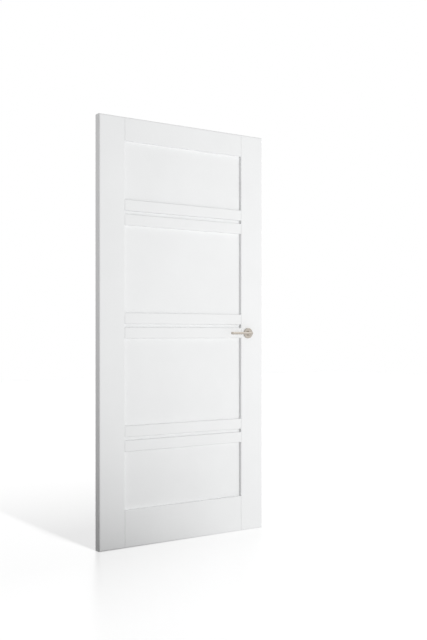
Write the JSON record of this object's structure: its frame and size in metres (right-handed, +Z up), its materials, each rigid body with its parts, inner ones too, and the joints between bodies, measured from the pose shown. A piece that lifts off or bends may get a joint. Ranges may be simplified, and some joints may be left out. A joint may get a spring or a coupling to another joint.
{
  "type": "interior door leaf",
  "caption": "Painted interior door leaf with flat recessed panels, paired slim bars between them, rounded edges and a lever handle on round roses.",
  "frame": {"origin": "on the hinge edge, in the middle of the thickness, at the foot of the leaf", "axes": "+X from the hinge edge to the lock edge, +Y from the front face to the back face, +Z up"},
  "size_m": [0.942, 0.146, 2.015],
  "materials": {
    "white_lacquer": "satin",
    "satin_nickel": "satin",
    "latch_steel": "satin",
    "zinc_plated_steel": "satin"
  },
  "bodies": {
    "leaf": {"hinge_stile": "white_lacquer", "lock_stile": "white_lacquer", "top_rail": "white_lacquer", "bottom_rail": "white_lacquer", "top_panel": "white_lacquer", "upper_middle_panel": "white_lacquer", "lower_middle_panel": "white_lacquer", "bottom_panel": "white_lacquer", "upper_pair_top_bar": "white_lacquer", "upper_pair_bottom_bar": "white_lacquer", "upper_channel_strip": "white_lacquer", "middle_pair_top_bar": "white_lacquer", "middle_pair_bottom_bar": "white_lacquer", "middle_channel_strip": "white_lacquer", "lower_pair_top_bar": "white_lacquer", "lower_pair_bottom_bar": "white_lacquer", "lower_channel_strip": "white_lacquer", "front_rose": "satin_nickel", "back_rose": "satin_nickel", "latch_faceplate": "latch_steel", "latch_bolt": "latch_steel", "latch_case": "zinc_plated_steel"},
    "lever_set": {"front_lever": "satin_nickel", "spindle": "zinc_plated_steel", "back_lever": "satin_nickel"}
  },
  "joints": [
    {"name": "lever_turn", "type": "hinge", "parent": "leaf", "child": "lever_set", "pos_m": [0.839, 0, 1.005], "axis": [0, -1, 0], "range_deg": [0, 40], "stiffness_Nm_per_rad": 1.5, "springref_deg": -20.05}
  ]
}
